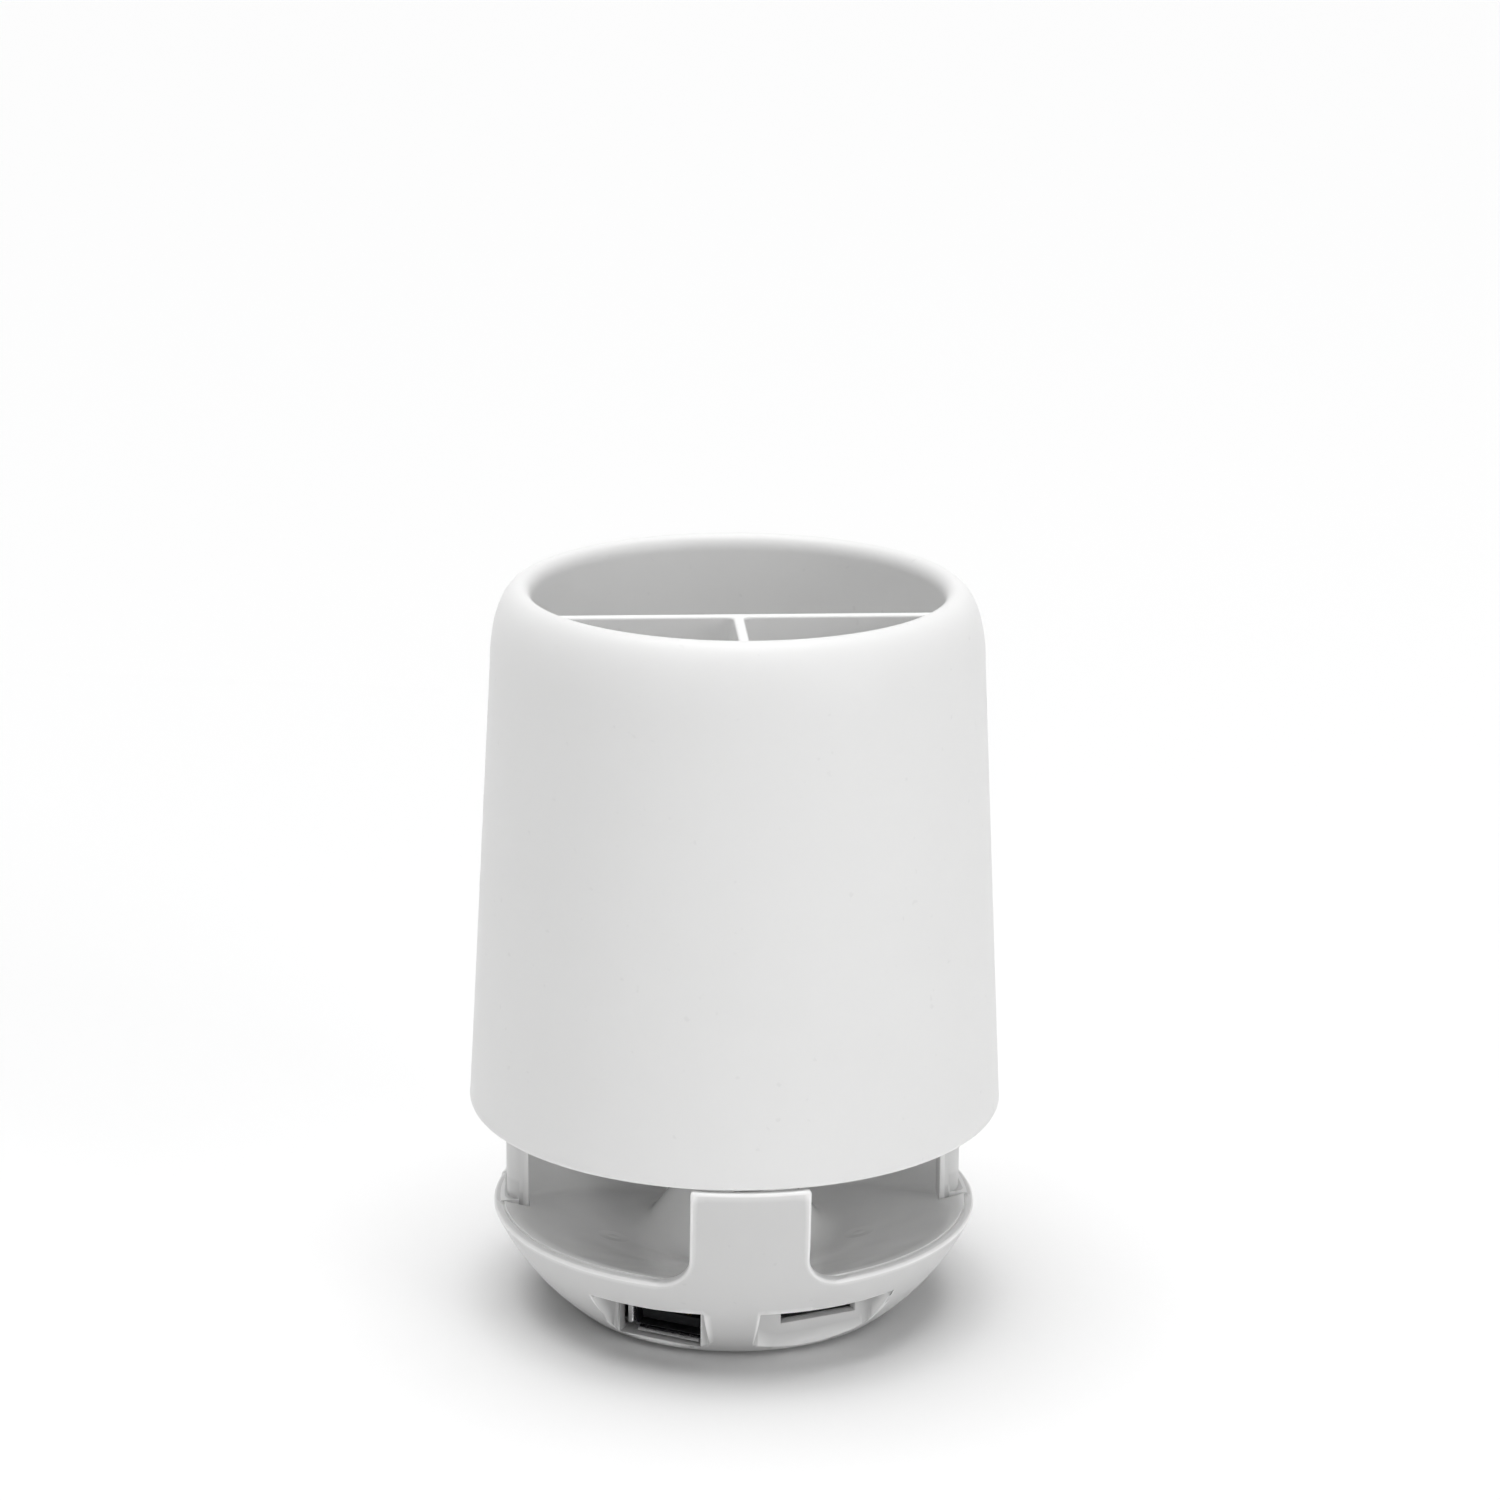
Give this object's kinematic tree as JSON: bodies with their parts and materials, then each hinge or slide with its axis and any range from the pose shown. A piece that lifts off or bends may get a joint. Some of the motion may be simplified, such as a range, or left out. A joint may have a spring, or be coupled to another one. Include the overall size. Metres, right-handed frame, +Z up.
{
  "type": "pen holder with speaker and lamp",
  "caption": "Round desk pen holder: translucent lampshade cup with divided pen well on a ball-shaped speaker base with two horn windows, front sockets and rear push-buttons.",
  "frame": {"origin": "centre of the base, on the surface that the rubber foot stands on", "axes": "+Z up, the web between the two horn windows faces -Y, +X to its right as seen from the front"},
  "size_m": [0.09, 0.0908, 0.1256],
  "materials": {
    "shade": "satin translucent white",
    "housing": "satin white",
    "deck": "gloss white",
    "button": "satin light grey",
    "rubber": "matte",
    "steel": "bright plated",
    "black_plastic": "satin",
    "board": "lacquered laminate",
    "cone": "coated paper",
    "magnet": "dark plated",
    "foil": "dull laminated foil",
    "copper": "enamelled wire",
    "lamp": "clear silicone over phosphor"
  },
  "bodies": {
    "holder": {"cup_shade": "shade", "pen_cup": "shade", "pen_divider": "shade", "speaker_baffle": "housing", "speaker_grille": "housing", "base_housing": "housing", "base_cover": "housing", "horn_deck": "deck", "rubber_foot": "rubber", "baffle_screw_front": "steel", "baffle_screw_left": "steel", "baffle_screw_right": "steel", "board_screw_left": "steel", "board_screw_right": "steel", "cover_screw_1": "steel", "cover_screw_2": "steel", "cover_screw_3": "steel", "usb_socket_shell": "steel", "card_socket_shell": "steel", "charge_socket": "steel", "power_switch_body": "steel", "usb_socket_tongue": "black_plastic", "card_socket_tray": "black_plastic", "speaker_gasket": "cone", "speaker_surround": "cone", "speaker_cone": "cone", "speaker_dust_cap": "cone", "speaker_basket": "magnet", "speaker_magnet": "magnet", "voice_coil": "copper", "lamp_board": "board", "main_board": "board", "control_board": "board", "battery": "foil", "speaker_lead": "black_plastic", "lamp_lead": "black_plastic", "status_light_pipe": "lamp", "lamp_diode_1": "lamp", "lamp_diode_2": "lamp", "lamp_diode_3": "lamp", "lamp_diode_4": "lamp", "lamp_diode_5": "lamp", "lamp_diode_6": "lamp", "lamp_diode_7": "lamp", "lamp_diode_8": "lamp", "tact_switch_previous": "black_plastic", "tact_switch_play": "black_plastic", "tact_switch_next": "black_plastic", "tact_switch_lamp": "black_plastic"},
    "power_slider": {"power_slider": "button"},
    "button_previous": {"button_previous": "button"},
    "button_play": {"button_play": "button"},
    "button_next": {"button_next": "button"},
    "button_lamp": {"button_lamp": "button"}
  },
  "joints": [
    {"name": "previous_press", "type": "slide", "parent": "holder", "child": "button_previous", "axis": [0, -1, 0], "range_m": [0, 0.0006], "stiffness_N_per_m": 1500},
    {"name": "play_press", "type": "slide", "parent": "holder", "child": "button_play", "axis": [0, -1, 0], "range_m": [0, 0.0006], "stiffness_N_per_m": 1500},
    {"name": "next_press", "type": "slide", "parent": "holder", "child": "button_next", "axis": [0, -1, 0], "range_m": [0, 0.0006], "stiffness_N_per_m": 1500},
    {"name": "lamp_press", "type": "slide", "parent": "holder", "child": "button_lamp", "axis": [0, -1, 0], "range_m": [0, 0.0006], "stiffness_N_per_m": 1500},
    {"name": "power_slide", "type": "slide", "parent": "holder", "child": "power_slider", "axis": [1, 0, 0], "range_m": [0, 0.002]}
  ]
}
